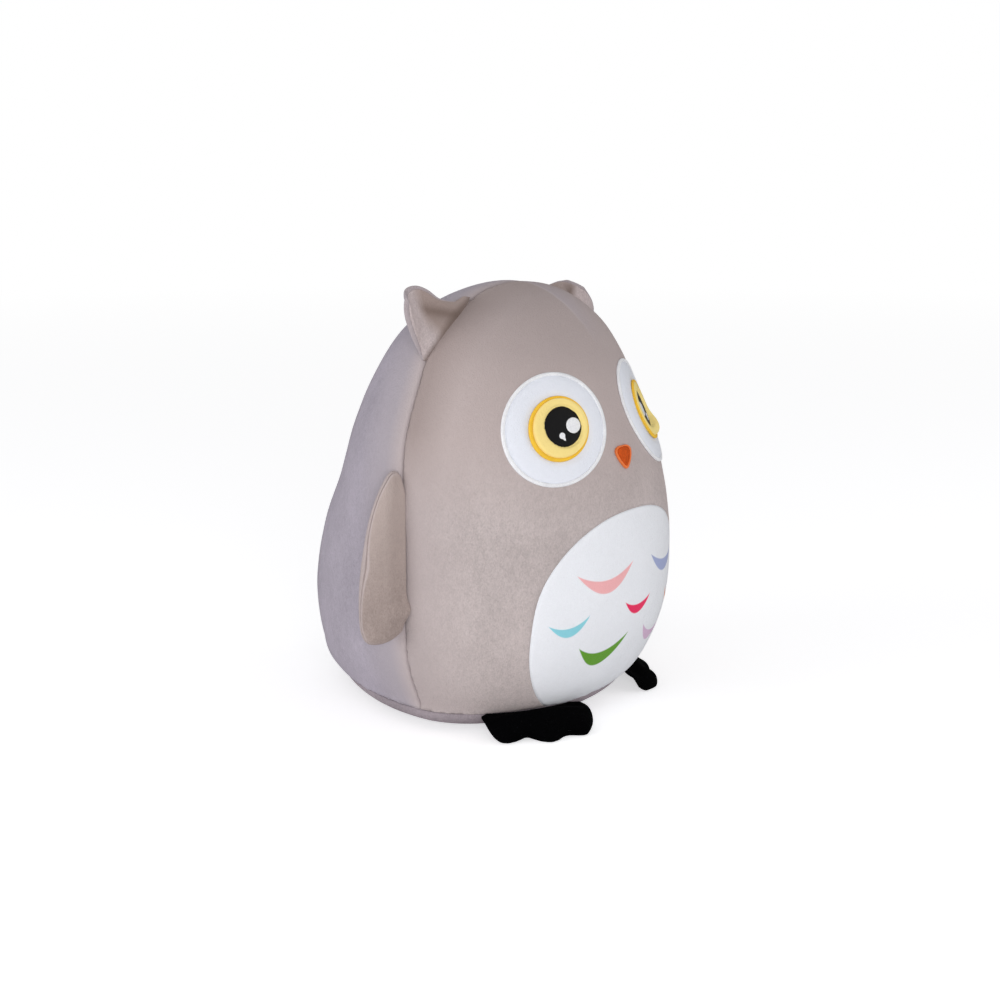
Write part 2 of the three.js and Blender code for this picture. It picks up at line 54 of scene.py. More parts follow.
# Level, half width, front depth and back depth, as shares of the four sizes above.
OUTLINE_SHARES = np.array([
    [0, 0.62, 0.42, 0.56],
    [0.02, 0.81, 0.55, 0.715],
    [0.06, 0.86, 0.685, 0.935],
    [0.14, 0.95, 0.84, 0.985],
    [0.26, 0.99, 0.975, 1],
    [0.4, 0.99, 1, 0.94],
    [0.54, 1, 0.935, 0.79],
    [0.67, 0.97, 0.85, 0.69],
    [0.79, 0.845, 0.705, 0.585],
    [0.9, 0.68, 0.495, 0.425],
    [0.965, 0.405, 0.335, 0.275],
    [1, 0, 0, 0],
])
BODY_MIDDLE = np.array([0, 0, 0.1])  # the skin is seen whole from here
FABRIC = 0.0016  # thickness of the cloth
STUFFING_INSET = 0.0035  # from the skin to the filling
SEAM_GAP = 0.0001  # from a panel's edge to the middle of its seam
# A seam is a narrow valley with wide shoulders, puckered by its stitches.
SEAM_DEPTH = 0.0013
SEAM_HALF = 0.0017
SEAM_SHOULDER_DEPTH = 0.0008
SEAM_SHOULDER_HALF = 0.009
BASE_SEAM_SHARE = 0.8
BELLY_SEAM_DEPTH = 0.0004
BELLY_SEAM_HALF = 0.0016
PUCKER = 0.9
PUCKER_SIZE = 0.0042
# Lumps of the filling: height and size
LUMPS = 0.0011, 0.06
SMALL_LUMPS = 0.00035, 0.022
FLAT_BELOW = 0.004, 0.02  # the relief fades out between these levels
BASE_FLAT_SHARE = 0.55

# Belly
BELLY_HALF = 0.0787
BELLY_LEVEL = 0.082
BELLY_ABOVE = 0.0712
BELLY_BELOW = 0.078
BELLY_ROUNDNESS = 2.2

# Eyes
EYE_SIDE = 0.0515
EYE_LEVEL = 0.212
EYE_DRAWN = 1.05  # how much longer an eye is along its diagonal, and narrower across it
EYE_TURN = math.radians(37)  # of that diagonal
EYE_RADIUS = 0.039
EYE_STITCH = 0.0028
IRIS_RADIUS = 0.0223
# Places in an eye are its middle's distance towards the beak and up.
IRIS_SHIFTS = {"right": (0.0011, -0.0004), "left": (-0.0005, -0.0002)}
IRIS_STITCH = 0.0021
IRIS_OFFSET = (0.0011, 0.0004)  # of the yellow within its border
PUPIL_RADIUS = 0.0141
PUPIL_SHIFTS = {"right": (0.0036, 0.0012), "left": (0.0021, 0.0012)}
GLINT_RADIUS = 0.0055
GLINT_SHIFT = (0.0077, 0.0001)
SPARK_RADIUS = 0.0023
SPARK_SHIFT = (-0.0021, -0.0061)
SPARK_TAIL = math.radians(-62)  # the way it is drawn out, like a drop
PAD_UNDER_BORDER = 0.8  # a pad ends at this share of its border's width
# Heights over the skin
WHITE_TOP = 0.0014
PUPIL_TOP = 0.0013
IRIS_CRESTS = {"right": 0.0036, "left": 0.0031}
EYE_DENTS = {"right": ((0.0515, 0.212), 0.0034), "left": ((0.067, 0.214), 0.0046)}  # middle and depth
EYE_DENT_REACH = 0.031
IRIS_BULGES = {"right": 0, "left": 0.0036}  # more of the crest, at the lower outer edge
IRIS_BULGE_PLACE = (-0.009, -0.0125)
IRIS_BULGE_REACH = 0.0095

# Beak
BEAK_HALF = 0.0085
BEAK_TOP = 0.1957
BEAK_TIP = 0.1795
BEAK_SIDE = -0.0033
BEAK_STITCH = 0.0018
BEAK_MIDDLE_SHARE = 0.62
# Across and up from the tip, in turn from the middle of the top
BEAK_SHARES = [
    (0, 1), (-0.62, 0.97), (-0.97, 0.8), (-0.84, 0.5), (-0.42, 0.16),
    (0, 0), (0.42, 0.16), (0.84, 0.5), (0.97, 0.8), (0.62, 0.97),
]

# Crescents printed on the belly, like feathers: colour, tips across and up, and how far the upper and the
# lower edge hang below the line between the tips, with the share by which they hang towards the first tip
CRESCENTS = [
    ((243, 180, 183), (-0.0545, 0.115), (-0.009, 0.119), 0.0072, 0.0162, 0.2),
    ((165, 175, 215), (0.0126, 0.1193), (0.057, 0.115), 0.0054, 0.0136, 0),
    ((238, 42, 96), (-0.0155, 0.091), (0.013, 0.092), 0.0044, 0.0109, 0.1),
    ((142, 212, 226), (-0.0705, 0.082), (-0.045, 0.087), 0.0052, 0.0118, 0.12),
    ((235, 150, 110), (0.0453, 0.0893), (0.070, 0.0834), 0.0055, 0.0114, 0),
    ((98, 158, 42), (-0.0465, 0.0627), (-0.005, 0.0678), 0.0084, 0.0188, 0.15),
    ((218, 184, 214), (0.0127, 0.0688), (0.0537, 0.0637), 0.0066, 0.0142, 0),
]
PRINT_EDGE = 0.0004

# Limbs
LIMB_EDGE = 0.00075
EDGE_SEAM = 0.0026  # how far in from the free edge the layers are sewn together, on the front
GROOVE = 0.28  # depth of that seam, as a share of the thickness there
GROOVE_HALF = 0.0007
PALE_EDGE = 0.001, 0.0009  # middle and half width of the pale fibre inside it
LINING = 0.00005  # least distance of an inner face from the limb's middle
FILLING_GAP = 0.0006
FILL_REACH = 0.72  # of the filling, as a share of the way to the edge
PINCH_SHARE = 0.15  # what is left of the thickness at the root
FILL_SHARE = 2.4  # the higher, the rounder the edge

# Wings
WING_ROOT_HIGH = 0.182
WING_ROOT_LOW = 0.087
WING_TIP = 0.067
WING_REACH = 0.029
WING_SWEEP = math.radians(35)
WING_CROWN = 0.005
WING_ROUND = 0.014
WING_BOW = 0.0015
WING_PINCH = 0.013
WING_ROOT_GAP = -0.0003
WING_OVERHANG = 0.003  # how far the root bulges forwards over the seam
WING_LOBE = 0.0035  # more of it at the lower end
WING_LOBE_LEVEL = 0.0885
WING_LOBE_HALF = 0.007
WING_OVERHANG_REACH = 0.016
WING_OVERHANG_FADE = 0.015  # below the root's upper end
WING_SINK = 0.0008  # how far the root is let into the skin
WING_BEND = 0.013  # from the seam to the second place of the wing's bend
WING_MIDDLE_SHARES = (0.5, 0.45)
WING_SHARES = [
    (0, 0.975), (0.09, 1.01), (0.27, 1.005), (0.5, 0.915), (0.74, 0.745), (0.89, 0.555), (0.98, 0.38),
    (1.01, 0.22), (0.98, 0.08), (0.85, 0.005), (0.6, -0.008), (0.33, 0.012), (0.1, 0.065),
]

# Ears
EAR_ROOT_LOW = 0.253
EAR_ROOT_HIGH = 0.291
EAR_HEIGHTS = {"right": 0.040, "left": 0.030}
EAR_LEAN = math.radians(10)
EAR_CUP = 0.0053  # depth of the fold along it
EAR_CROWN = 0.0013
EAR_RIDGE = 0.0005
EAR_ROUND = 0.011
EAR_PINCH = 0.006
EAR_ROOT_GAP = -0.0007  # negative, so that the root reaches into the seam
EAR_OVERHANG = 0.0072
EAR_OVERHANG_REACH = 0.012
EAR_SINK = 0.0018
EAR_SINK_AT_ENDS = 0.6  # share of it
EAR_RISE_SHARE = 2.0  # the fold is deepest from this many times its depth on
EAR_BEND = 0.015
EAR_BEND_START = 0.6
EAR_MIDDLE_SHARES = (-0.12, 0.42)
EAR_FOLD_SHARES = (-0.1, 0.75)  # the fold's middle, and how much narrower it gets upwards
EAR_SHARES = {
    "right": [
        (-1, 0.04), (-0.93, 0.3), (-0.83, 0.57), (-0.66, 0.84), (-0.42, 1), (-0.15, 1.01),
        (0.09, 0.93), (0.26, 0.72), (0.39, 0.43), (0.6, 0.24), (0.87, 0.16), (1.05, 0.02),
    ],
    "left": [
        (-1, 0.04), (-1.08, 0.4), (-1.1, 0.75), (-0.97, 0.91), (-0.76, 0.97), (-0.42, 0.99),
        (-0.2, 0.98), (0.14, 0.82), (0.45, 0.6), (0.7, 0.4), (0.93, 0.18), (1.02, 0.02),
    ],
}

# Feet
FOOT_HALF = 0.036
FOOT_LENGTHS = {"right": 0.038, "left": 0.033}
FOOT_CROWNS = {"right": 0.0072, "left": 0.0086}
FOOT_ROUND = 0.013
FOOT_LEVEL = 0.005
FOOT_TOE_LEVEL = 0.0031
FOOT_DROP_SHARE = 0.55  # of its length, over which it drops from the seam
FOOT_TURNS = {"right": math.radians(34), "left": math.radians(60)}
FOOT_ROOT_HALF_TURN = math.radians(22)
FOOT_FLOOR_GAP = 0.0003
FOOT_PINCH = 0.011
FOOT_BEND = 0.011
FOOT_ROOT_GAPS = {"right": -0.0012, "left": -0.0008}
FOOT_ROOT_RISES = {"right": 0.0012, "left": 0.002}
FOOT_MIDDLE_SHARES = (0.06, 0.44)
FOOT_SHARES = [
    (-1, 0.08), (-0.97, 0.32), (-0.87, 0.58), (-0.74, 0.68), (-0.58, 0.67), (-0.43, 0.64), (-0.31, 0.62),
    (-0.22, 0.68), (-0.12, 0.82), (0.04, 0.92), (0.22, 0.88), (0.38, 0.78), (0.5, 0.75), (0.6, 0.78),
    (0.72, 0.83), (0.86, 0.82), (1.03, 0.66), (1.17, 0.44), (1.2, 0.22), (1.08, 0.06),
]

# Camera
CAMERA_PLACE = Vector((-1.0413, -0.8117, 0.4274))
CAMERA_TURN = math.radians(-51.81)
CAMERA_ELEVATION = math.radians(12.11)
CAMERA_LENS = 68.4
AMBIENT = 0.42  # strength of the white world as light

SIDES = {"right": -1, "left": 1}
FULL_TURN = 2 * math.pi


# The body's skin

def curved(p, start, end, slope_start, slope_end):
    """Between start and end at a share p of the way, with these slopes at the ends."""
    return ((2 * p ** 3 - 3 * p ** 2 + 1) * start + (p ** 3 - 2 * p ** 2 + p) * slope_start
            + (3 * p ** 2 - 2 * p ** 3) * end + (p ** 3 - p ** 2) * slope_end)


def sections(level):
    """Squares of the half width, front depth and back depth at each level."""
    levels = OUTLINE_SHARES[:, 0] * BODY_HEIGHT
    squares = (OUTLINE_SHARES[:, 1:] * (SIDE_HALF, FRONT_DEPTH, BACK_DEPTH)) ** 2
    slopes = np.diff(squares, axis=0) / np.diff(levels)[:, None]
    tangents = np.vstack([slopes[:1], (slopes[1:] + slopes[:-1]) / 2, slopes[-1:]])
    level = np.clip(level, 0, BODY_HEIGHT)
    row = np.clip(np.searchsorted(levels, level, side="right") - 1, 0, len(levels) - 2)
    step = (levels[row + 1] - levels[row])[..., None]
    p = (level - levels[row])[..., None] / step
    between = curved(p, squares[row], squares[row + 1], step * tangents[row], step * tangents[row + 1])
    return np.maximum(between, 1e-9)


def field(points):
    """Below 1 inside the body, 1 on its skin."""
    side, front, back = np.moveaxis(sections(points[..., 2]), -1, 0)
    depth = np.where(points[..., 1] < 0, front, back)
    value = points[..., 0] ** 2 / side + points[..., 1] ** 2 / depth
    return np.where((points[..., 2] < 0) | (points[..., 2] > BODY_HEIGHT), 9, value)


def outwards(points):
    """The skin's normal at points on it."""
    step = BODY_HEIGHT / 1000
    inner = points.copy()
    inner[..., 2] = np.clip(inner[..., 2], step, BODY_HEIGHT - step)
    slopes = [field(inner + step * axis) - field(inner - step * axis) for axis in np.eye(3)]
    normal = np.stack(slopes, -1)
    return normal / np.linalg.norm(normal, axis=-1, keepdims=True)


def follow(start, direction, reach):
    """The last point inside the body on the way from inside start along a direction."""
    low = np.zeros(len(start))
    high = np.full(len(start), reach)
    for _ in range(36):  # each time, the way left is halved
        middle = (low + high) / 2
        inside = field(start + middle[:, None] * direction) < 1
        low = np.where(inside, middle, low)
        high = np.where(inside, high, middle)
    return start + low[:, None] * direction


def body_point(turn, level):
    """On the skin, by the turn round the body from the front towards +X and by the level."""
    side, front, back = np.moveaxis(np.sqrt(sections(level)), -1, 0)
    depth = np.where(np.cos(turn) > 0, front, back)
    return np.stack([side * np.sin(turn), -depth * np.cos(turn), level + 0 * turn], -1)


def front_point(across, level):
    """On the skin, by the place seen from the front."""
    side, front, _ = sections(np.array(level))
    return np.array([across, -math.sqrt(front * (1 - across ** 2 / side)), level])


def side_rim(level):
    """Where the side seam is at a level, as its place across and up."""
    return np.array([math.sqrt(sections(np.array(level))[0]), level])


def smooth(value, low, high):
    """0 up to low and 1 from high on, with a soft rise between."""
    share = np.clip((value - low) / (high - low), 0, 1)
    return share * share * (3 - 2 * share)


def waves(points, scale, seed):
    """Soft noise from -1 to 1, of about scale metres."""
    return np.array([noise.noise(Vector(point) / scale + Vector((seed, seed, seed))) for point in points])


def relief(points):
    """How far the stuffed skin stands out of the plain outline: soft lumps, and a valley at each seam."""
    pucker = 1 + PUCKER * waves(points, PUCKER_SIZE, 3)
    valley = np.zeros(len(points))
    for distance, share in (
            (np.abs(points[:, 1]), 1), (np.abs(points[:, 2] - BASE_SEAM), BASE_SEAM_SHARE)):
        depth = SEAM_DEPTH * pucker * np.exp(-(distance / SEAM_HALF) ** 2)
        depth += SEAM_SHOULDER_DEPTH * np.exp(-(distance / SEAM_SHOULDER_HALF) ** 2)
        valley = np.maximum(valley, share * depth)
    belly = BELLY_SEAM_DEPTH * np.exp(-(from_belly_seam(points) / BELLY_SEAM_HALF) ** 2)
    lumps = LUMPS[0] * waves(points, LUMPS[1], 7) + SMALL_LUMPS[0] * waves(points, SMALL_LUMPS[1], 11)
    dents = 0
    for label, ((across, level), depth) in EYE_DENTS.items():
        away = np.linalg.norm(points - front_point(SIDES[label] * across, level), axis=1)
        dents = dents + depth * np.exp(-(away / EYE_DENT_REACH) ** 2)
    return (lumps - dents - np.maximum(valley, belly)) * smooth(points[:, 2], *FLAT_BELOW)


def dressed(points):
    """Points of the plain skin, moved onto the stuffed one."""
    return points + outwards(points) * relief(points)[:, None]


# Meshes

def sheet_of(columns, rings, place):
    """A grid of quads, closed where its edges meet. Its points are put in place by their turn and share, from
    0 to 1 each. A fourth value of a place is kept as the point's rim, for the finish."""
    bm = bmesh.new()
    bmesh.ops.create_grid(bm, x_segments=columns, y_segments=rings, size=0.5)
    rim = bm.verts.layers.float.new("rim")
    spots = np.array([v.co for v in bm.verts]) + 0.5
    for vertex, point in zip(bm.verts, place(spots[:, 0], spots[:, 1])):
        vertex.co = point[:3]
        vertex[rim] = point[3] if len(point) > 3 else 0
    bmesh.ops.remove_doubles(bm, verts=bm.verts, dist=2e-6)
    return bm


def moved(bm, change):
    """Moves every point of the mesh, through a function of all of them."""
    points = change(np.array([v.co for v in bm.verts], float))
    for vertex, point in zip(bm.verts, points):
        vertex.co = point


def piece(name, bm, body, finish, nodes, outside=None, thickness=None, bend=None):
    """Makes an object of a mesh, which rides on a body and stands for the nodes named. Given a bend, its mesh
    is baked where it stands, and it rides on no body."""
    bmesh.ops.recalc_face_normals(bm, faces=bm.faces)
    if outside is not None:
        face = max(bm.faces, key=lambda f: f.calc_area())
        if (outside(np.array([face.calc_center_median()]))[0] @ np.array(face.normal)) < 0:
            bmesh.ops.reverse_faces(bm, faces=bm.faces)
    mesh = bpy.data.meshes.new(name)
    bm.to_mesh(mesh)
    bm.free()
    mesh.shade_smooth()
    made = bpy.data.objects.new(name, mesh)
    bpy.context.scene.collection.objects.link(made)
    mesh.materials.append(finish.material)
    if thickness:
        wall = made.modifiers.new("cloth", "SOLIDIFY")
        wall.thickness = thickness
        wall.offset = -1
    if bend:
        tuple(bend[0])
        tuple(bend[1])
        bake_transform(made)
    else:
        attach(made, body)
    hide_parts(*nodes)


# Finishes

class Tone:
    """A socket that takes part in sums."""

    def __init__(self, finish, socket):
        self.finish = finish
        self.socket = socket

    def math(self, operation, *values, clamp=False):
        return self.finish.node("ShaderNodeMath", {"operation": operation, "use_clamp": clamp}, *values)

    def __add__(self, other):
        return self.math("ADD", self, other)

    def __radd__(self, other):
        return self.math("ADD", other, self)

    def __sub__(self, other):
        return self.math("SUBTRACT", self, other)

    def __rsub__(self, other):
        return self.math("SUBTRACT", other, self)

    def __mul__(self, other):
        return self.math("MULTIPLY", self, other)

    def __rmul__(self, other):
        return self.math("MULTIPLY", other, self)

    def __truediv__(self, other):
        return self.math("DIVIDE", self, other)

    def __pow__(self, other):
        return self.math("POWER", self, other)

    def step(self, low, high):
        """0 below low and 1 above high, with a straight rise between."""
        return self.math("DIVIDE", self - low, high - low, clamp=True)


class Finish:
    """A material and its nodes."""

    def __init__(self, name, **sockets):
        self.material = bpy.data.materials.new(name)
        self.material.use_nodes = True
        self.tree = self.material.node_tree
        self.shader = self.tree.nodes["Principled BSDF"]
        for label, value in sockets.items():
            self.set(label.replace("_", " "), value)
        place = self.tree.nodes.new("ShaderNodeTexCoord")
        self.place = Tone(self, place.outputs["Object"])

    def plug(self, socket, value):
        if isinstance(value, Tone):
            self.tree.links.new(value.socket, socket)
        else:
            socket.default_value = value

    def set(self, label, value):
        self.plug(self.shader.inputs[label], value)

    def node(self, kind, settings, *values, output=0, **named):
        made = self.tree.nodes.new(kind)
        for label, value in settings.items():
            setattr(made, label, value)
        for index, value in enumerate(values):
            self.plug(made.inputs[index], value)
        for label, value in named.items():
            self.plug(made.inputs[label.replace("_", " ")], value)
        return Tone(self, made.outputs[output])

    def axes(self):
        parts = self.tree.nodes.new("ShaderNodeSeparateXYZ")
        self.plug(parts.inputs[0], self.place)
        return [Tone(self, socket) for socket in parts.outputs]

    def noise(self, size, stretch=(1, 1, 1), detail=2.0, roughness=0.5):
        """Noise of about size metres, drawn out along the axes by the stretches."""
        scale = tuple(1 / share for share in stretch)
        spot = self.node("ShaderNodeMapping", {}, self.place, Scale=scale)
        return self.node(
            "ShaderNodeTexNoise", {}, Vector=spot, Scale=1 / size, Detail=detail, Roughness=roughness)

    def mix(self, factor, one, other):
        made = self.tree.nodes.new("ShaderNodeMix")
        made.data_type = "RGBA"
        for socket, value in zip((made.inputs[0], made.inputs[6], made.inputs[7]), (factor, one, other)):
            self.plug(socket, value)
        return Tone(self, made.outputs[2])

    def paint_print_and_shade(self, share, colour):
        """Changes the pile by a share towards a colour of 0 to 255: printed marks, and painted light and
        shade.
        """
        self.pile = self.mix(share, self.pile, linear(*colour))
        self.set("Base Color", self.pile)

    def bump(self, height, distance, strength):
        self.set("Normal", self.node(
            "ShaderNodeBump", {}, Height=height, Distance=distance, Strength=strength))


def linear(red, green, blue):
    """A colour of 0 to 255 as the shader's linear values."""
    shares = [value / 255 for value in (red, green, blue)]
    return (*[s / 12.92 if s < 0.04045 else ((s + 0.055) / 1.055) ** 2.4 for s in shares], 1)


def scaled(colour, share):
    return (*[min(value * share, 1) for value in colour[:3]], 1)


def plush(name, colour, sheen=0.35, contrast=0.17, gloss=0.15):
    """Short pile: fine upright grain, soft marks where the nap is brushed, and a pale edge of fibre ends."""
    finish = Finish(
        name, Roughness=0.95, Specular_IOR_Level=gloss, Sheen_Weight=sheen, Sheen_Roughness=0.5,
        Sheen_Tint=scaled(colour, 1.5))
    grain = finish.noise(0.001, stretch=(1, 1, 1.6), detail=3.0, roughness=0.7)
    brushed = finish.noise(0.034, stretch=(1, 1, 1.5))
    tufts = finish.noise(0.0034, stretch=(1, 1, 1.4))
    shade = (brushed - 0.5) * 1.2 + (tufts - 0.5) * 0.8 + (grain - 0.5) * 2.2 + 0.5
    finish.pile = finish.mix(
        shade.step(0, 1), scaled(colour, 1 - contrast), scaled(colour, 1 + contrast))
    finish.set("Base Color", finish.pile)
    finish.bump(grain * 0.7 + tufts * 0.5 + brushed * 0.4, 0.0012, 0.55)
    return finish


def thread(name, colour, sheen=0.1, gloss=0.5):
    """Glossy embroidery thread laid in close rows."""
    finish = Finish(
        name, Roughness=0.42, Specular_IOR_Level=gloss, Sheen_Weight=sheen, Sheen_Roughness=0.4)
    strand = finish.noise(0.0006)
    patches = finish.noise(0.006)
    shade = (strand - 0.5) * 1.4 + (patches - 0.5) * 0.8 + 0.5
    finish.pile = finish.mix(shade.step(0, 1), scaled(colour, 0.82), scaled(colour, 1.12))
    finish.set("Base Color", finish.pile)
    finish.bump(strand, 0.0003, 0.5)
    return finish


def crescents(finish):
    """Prints the belly's feather marks, seen from the front."""
    across, _, level = finish.axes()
    for colour, start, end, upper, lower, lean in CRESCENTS:
        start, end = Vector(start), Vector(end)
        middle, half = (start + end) / 2, (end - start).length / 2
        along = (end - start).normalized()
        x, z = across - middle.x, level - middle.y
        run = (x * along.x + z * along.y) / half
        run = run.math("MAXIMUM", run.math("MINIMUM", run, 1.1), -1.1)
        drop = x * along.y - z * along.x
        bow = (1 - run * run) * (1 - run * lean)
        below, above = drop - bow * upper, bow * lower - drop
        finish.paint_print_and_shade(below.step(-PRINT_EDGE, PRINT_EDGE) * above.step(-PRINT_EDGE, PRINT_EDGE), colour)


def painted_light_bands(finish, axis, *bands, above=0.0):
    """Paints light and shade into the pile, from one place along an axis to another, above a level."""
    fade, strength = 0.02, 0.85
    axes = finish.axes()
    for colour, start, end in bands:
        finish.paint_print_and_shade(axes[axis].step(start, end) * axes[2].step(above - fade, above + fade) * strength, colour)


def rimmed(finish, colour):
    """Pale fibre ends along the sewn edge."""
    rim = finish.node("ShaderNodeAttribute", {"attribute_name": "rim"}, output=2)
    finish.paint_print_and_shade(rim * 0.45, colour)


def ear_painted_shade(finish):
    """The ear's front, with painted light and shade: a pale lit outer plane, a browner inner one in painted
    shade, a dark painted shade along the fold across it, and a dark painted shadow down at the root. Places
    on it are measured along the line between the root's ends, and at right angles to it."""
    across, _, level = finish.axes()
    out, up = across.math("ABSOLUTE", across) - EAR_MIDDLE[0], level - EAR_MIDDLE[1]
    run = up * EAR_ALONG[1] + out * EAR_ALONG[0]
    rise = out * EAR_ALONG[1] - up * EAR_ALONG[0]
    inner = (run * 0.92 - rise * 0.39).step(-0.0175, -0.0095)
    from_fold = (run * 0.8 + rise * 0.6 - 0.0103) / 0.004  # in half widths of the fold
    fold = (from_fold * from_fold + 1) ** -1 * inner
    root = (run * run / EAR_HALF ** 2 - 1) * EAR_RISE + rise
    # Painted shade on the inner plane and along the fold, and a painted shadow along the root.
    finish.paint_print_and_shade(inner * 0.9, (166, 149, 143))
    finish.paint_print_and_shade(fold * 0.8, (120, 103, 95))
    finish.paint_print_and_shade(root.step(0.0036, 0.0004) * 0.7, (104, 88, 80))


def far_crease_light(finish):
    """Painted light down the head's left side: a pale painted highlight along a soft crease, with painted
    cool light beyond it.
    """
    across, _, level = finish.axes()
    beyond = across - (0.29 - level).step(0, 0.019) * 0.01 - 0.006  # the crease bends outwards below
    high = level.step(0.258, 0.286)
    painted_cool_light = beyond.step(-0.0006, 0.002) * (1 - beyond.step(0.004, 0.03)) * high
    crease_highlight = beyond.step(-0.0018, 0) * (1 - beyond.step(0.0004, 0.0024)) * high
    finish.paint_print_and_shade(painted_cool_light * 0.5, (176, 168, 178))
    finish.paint_print_and_shade(crease_highlight * 0.4, (200, 192, 197))


EAR_ENDS = [side_rim(level) for level in (EAR_ROOT_LOW, EAR_ROOT_HIGH)]
EAR_MIDDLE = sum(EAR_ENDS) / 2
EAR_HALF = np.linalg.norm(EAR_ENDS[1] - EAR_ENDS[0]) / 2
EAR_ALONG = (EAR_ENDS[1] - EAR_ENDS[0]) / (2 * EAR_HALF)
EAR_RISE = (side_rim(EAR_MIDDLE[1])[0] - EAR_MIDDLE[0]) * EAR_ALONG[1]  # of the seam over that line
FINISHES = {
    "front": plush("taupe_plush", linear(188, 177, 176)),
    # The back's pile is the front's taupe made cooler and darker: partly the other lay of its nap, partly
    # painted cool shade.
    "back": plush("lilac_grey_plush", linear(167, 160, 171)),
    # The base's pile is painted darker and greyer: painted shade under the body.
    "base": plush("grey_taupe_plush", linear(149, 139, 145)),
    "limb_front": plush("wing_plush", linear(162, 147, 142)),
    "limb_back": plush("wing_back_plush", linear(168, 158, 162)),
    # The ear's front is painted lighter than the front panel: painted light on its lit outer plane.
    "ear_front": plush("ear_plush", linear(196, 183, 183)),
    "ear_back": plush("ear_back_plush", linear(172, 163, 168)),
    "belly": plush("white_plush", linear(238, 240, 246), sheen=0.12, contrast=0.022),
    "eye": plush("eye_plush", linear(234, 237, 246), sheen=0.12, contrast=0.013),
    "feet": plush("black_plush", linear(3, 3, 4), sheen=0, contrast=0.3, gloss=0.02),
    "filling": plush("fibre_filling", linear(244, 244, 240)),
    "iris": plush("yellow_fabric", linear(255, 229, 148), contrast=0.02),
    "beak": plush("orange_felt", linear(198, 82, 28), contrast=0.3),
    "white_thread": thread("white_thread", linear(240, 241, 248)),
    "amber_thread": thread("amber_thread", linear(254, 198, 42)),
    "black_thread": thread("black_thread", linear(12, 11, 13), sheen=0, gloss=0.2),
    "orange_thread": thread("orange_thread", linear(238, 122, 54)),
}
crescents(FINISHES["belly"])
# Painted shade on the front: darker towards the side seam, darker towards the top of the head, and darker
# again next to the seam on the head.
painted_light_bands(FINISHES["front"], 1, ((174, 162, 162), -0.055, -0.004))
painted_light_bands(FINISHES["front"], 2, ((185, 171, 169), 0.15, 0.205), ((169, 156, 155), 0.235, 0.295))
painted_light_bands(FINISHES["front"], 1, ((158, 143, 140), -0.032, -0.008), above=0.19)
far_crease_light(FINISHES["front"])
# Painted light on the back: warmer and lighter towards the side seam, where the back's painted cool shade
# fades out.
painted_light_bands(FINISHES["back"], 1, ((170, 162, 168), 0.045, 0.014), ((184, 172, 172), 0.014, 0.003))
# Painted highlight: the wing's front grows lighter towards its top.
painted_light_bands(FINISHES["limb_front"], 2, ((184, 169, 164), 0.09, 0.175))
rimmed(FINISHES["limb_front"], (202, 190, 192))
rimmed(FINISHES["limb_back"], (190, 174, 166))
rimmed(FINISHES["ear_back"], (176, 163, 164))
ear_painted_shade(FINISHES["ear_front"])


# Body panels

def away_from_front(around, away):
    """Skin points by the turn round the -Y axis, and by the angle away from it."""
    direction = np.stack([
        np.sin(away) * np.cos(around), -np.cos(away), np.sin(away) * np.sin(around),
    ], -1)
    return follow(np.repeat(BODY_MIDDLE[None], len(around), 0), direction, BODY_HEIGHT)


def belly_outline():
    """Turn round the -Y axis, and angle away from it, of points along the belly's edge."""
    turn = np.linspace(-math.pi, math.pi, 721)
    power = 2 / BELLY_ROUNDNESS
    across = BELLY_HALF * np.sign(np.cos(turn)) * np.abs(np.cos(turn)) ** power
    rise = np.where(np.sin(turn) > 0, BELLY_ABOVE, BELLY_BELOW)
    level = BELLY_LEVEL + rise * np.sign(np.sin(turn)) * np.abs(np.sin(turn)) ** power
    side, front, _ = np.moveaxis(sections(level), -1, 0)
    depth = np.sqrt(front * np.maximum(1 - across ** 2 / side, 0))
    up = level - BODY_MIDDLE[2]
    around = np.arctan2(up, across)
    order = np.argsort(around)
    return around[order], np.arctan2(np.hypot(up, across), depth)[order]


BELLY_AROUND, BELLY_AWAY = belly_outline()


def belly_away(around):
    """The belly edge's angle away from the -Y axis, by the turn round it."""
    wrapped = (around + math.pi) % FULL_TURN - math.pi
    return np.interp(wrapped, BELLY_AROUND, BELLY_AWAY, period=FULL_TURN)


def from_belly_seam(points):
    """Distance over the front from the belly's edge."""
    way = points - BODY_MIDDLE
    flat = np.hypot(way[:, 0], way[:, 2])
    away = np.arctan2(flat, -way[:, 1])
    return (away - belly_away(np.arctan2(way[:, 2], way[:, 0]))) * np.linalg.norm(way, axis=1)


def panel(name, bm):
    """Makes a panel of the body, with its relief and thickness."""
    moved(bm, dressed)
    piece(f"{name}_skin", bm, "owl_body", FINISHES[name], [f"{name}_panel"], outwards, FABRIC)


def cut_at_base(bm):
    parts = [*bm.verts, *bm.edges, *bm.faces]
    bmesh.ops.bisect_plane(
        bm, geom=parts, dist=1e-6, plane_co=(0, 0, BASE_SEAM + SEAM_GAP), plane_no=(0, 0, -1),
        clear_outer=True)
    bmesh.ops.remove_doubles(bm, verts=bm.verts, dist=0.0002)  # slivers that the cut leaves


def front_skin():
    def place(turn, share):
        around = turn * FULL_TURN
        edge = belly_away(around)
        points = away_from_front(around, edge + (math.pi / 2 - edge) * share)
        points[:, 1] = np.minimum(points[:, 1], -SEAM_GAP)
        return points
    bm = sheet_of(420, 80, place)
    cut_at_base(bm)
    panel("front", bm)


def belly_skin():
    def place(turn, share):
        around = turn * FULL_TURN
        return away_from_front(around, belly_away(around) * share)
    bm = sheet_of(420, 44, place)
    cut_at_base(bm)
    panel("belly", bm)


